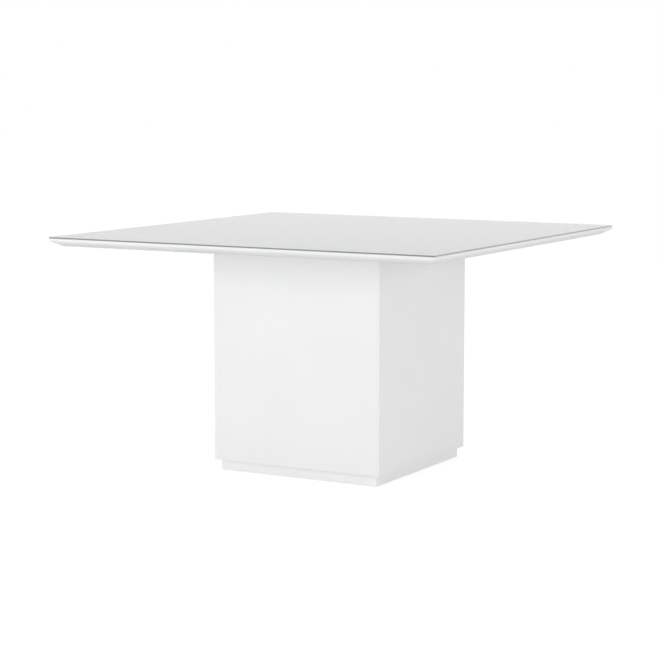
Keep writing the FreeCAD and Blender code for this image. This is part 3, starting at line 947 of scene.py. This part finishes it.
def seen_directly(tree, kinds):
    """One for rays of the given kinds, nothing for the rest."""
    path = tree.nodes.new("ShaderNodeLightPath")
    total = path.outputs[kinds[0]]
    for name in kinds[1:]:
        add = tree.nodes.new("ShaderNodeMath")
        add.operation = "ADD"
        add.use_clamp = True
        tree.links.new(total, add.inputs[0])
        tree.links.new(path.outputs[name], add.inputs[1])
        total = add.outputs["Value"]
    return total


def show_by_ray(tree, kinds, seen, others, output):
    """Gives one shader to rays of the given kinds and the other to the rest."""
    choose = tree.nodes.new("ShaderNodeMixShader")
    tree.links.new(seen_directly(tree, kinds), choose.inputs[0])
    tree.links.new(others, choose.inputs[1])
    tree.links.new(seen, choose.inputs[2])
    tree.links.new(choose.outputs["Shader"], tree.nodes[output].inputs["Surface"])


def make_floor():
    """White paper that keeps the table's soft shadow and bounces light up under the top."""
    bpy.ops.object.select_all(action="DESELECT")
    bpy.ops.mesh.primitive_circle_add(
        vertices=FLOOR_SIDES, radius=FLOOR_RADIUS, fill_type="NGON", location=(0, 0, 0)
    )
    floor = named("floor")
    paper = bpy.data.materials.new("white_paper")
    paper.use_nodes = True
    tree = paper.node_tree
    tree.nodes.remove(tree.nodes["Principled BSDF"])
    bounce = tree.nodes.new("ShaderNodeBsdfDiffuse")
    bounce.inputs["Color"].default_value = grey(FLOOR_BOUNCE)
    shaded = tree.nodes.new("ShaderNodeBsdfDiffuse")
    shaded.inputs["Color"].default_value = grey(FLOOR_SHADED)
    glow = tree.nodes.new("ShaderNodeEmission")
    glow.inputs["Strength"].default_value = FLOOR_GLOW
    lit = tree.nodes.new("ShaderNodeAddShader")
    tree.links.new(glow.outputs["Emission"], lit.inputs[0])
    tree.links.new(shaded.outputs["BSDF"], lit.inputs[1])
    show_by_ray(tree, FLOOR_SEEN_BY, lit.outputs["Shader"], bounce.outputs["BSDF"], "Material Output")
    floor.data.materials.append(paper)


def make_world():
    """Soft light from all round; seen directly, it is white at the horizon and light grey above."""
    world = bpy.data.worlds.new("studio")
    bpy.context.scene.world = world
    world.use_nodes = True
    tree = world.node_tree
    soft = tree.nodes["Background"]
    soft.inputs["Color"].default_value = grey(1)
    soft.inputs["Strength"].default_value = WORLD_SOFT
    backdrop = tree.nodes.new("ShaderNodeBackground")
    backdrop.inputs["Color"].default_value = grey(1)
    direction = tree.nodes.new("ShaderNodeTexCoord")
    parts = tree.nodes.new("ShaderNodeSeparateXYZ")
    tree.links.new(direction.outputs["Generated"], parts.inputs["Vector"])
    dimmed = tree.nodes.new("ShaderNodeMapRange")
    dimmed.inputs["From Min"].default_value = HORIZON_HEIGHT
    dimmed.inputs["From Max"].default_value = UPPER_HEIGHT
    dimmed.inputs["To Min"].default_value = HORIZON_WHITE
    dimmed.inputs["To Max"].default_value = UPPER_GREY
    tree.links.new(parts.outputs["Z"], dimmed.inputs["Value"])
    tree.links.new(dimmed.outputs["Result"], backdrop.inputs["Strength"])
    show_by_ray(
        tree, BACKDROP_SEEN_BY, backdrop.outputs["Background"], soft.outputs["Background"], "World Output"
    )


def make_lamps():
    """Key from the front left, fill from the right and a weak lamp over the top."""
    table_middle = (0, 0, 0.5)
    add_softbox("key", (-1.6, -5.7, 1.65), table_middle, width=3.0, height=2.3, power=80)
    add_softbox("fill", (6.0, -0.6, 1.6), table_middle, width=3.0, height=1.6, power=42)
    add_softbox("overhead", (0, 0, 2.6), (0, 0, 0), width=1.6, height=1.6, power=4.5)


def make_camera():
    """Camera at the photograph's viewing angle."""
    camera = bpy.data.cameras.new("camera")
    camera.lens = LENS
    camera.sensor_width = SENSOR
    eye = bpy.data.objects.new("camera", camera)
    eye.location = EYE
    eye.rotation_euler = (math.radians(90 - EYE_DOWN), 0, math.radians(EYE_TURNED))
    bpy.context.scene.collection.objects.link(eye)
    bpy.context.scene.camera = eye


make_top()
make_glass()
make_pads()
make_box()
make_battens()
make_corner_blocks()
make_bolts()
make_screws(
    "batten_screws", "mounting_rail_screws",
    BATTEN_SCREW_ALONG, BATTEN_HIGH.y, BATTEN_MIDDLE.z, BATTEN_WIDTH,
)
make_screws(
    "plinth_board_screws", "plinth_screws",
    PLINTH_SCREW_ALONG, PLINTH_HIGH.y, PLINTH_SCREW_LEVEL, PLINTH_THICK,
)
make_feet()
make_floor()
make_world()
make_lamps()
make_camera()
bpy.context.scene.view_settings.view_transform = "Standard"
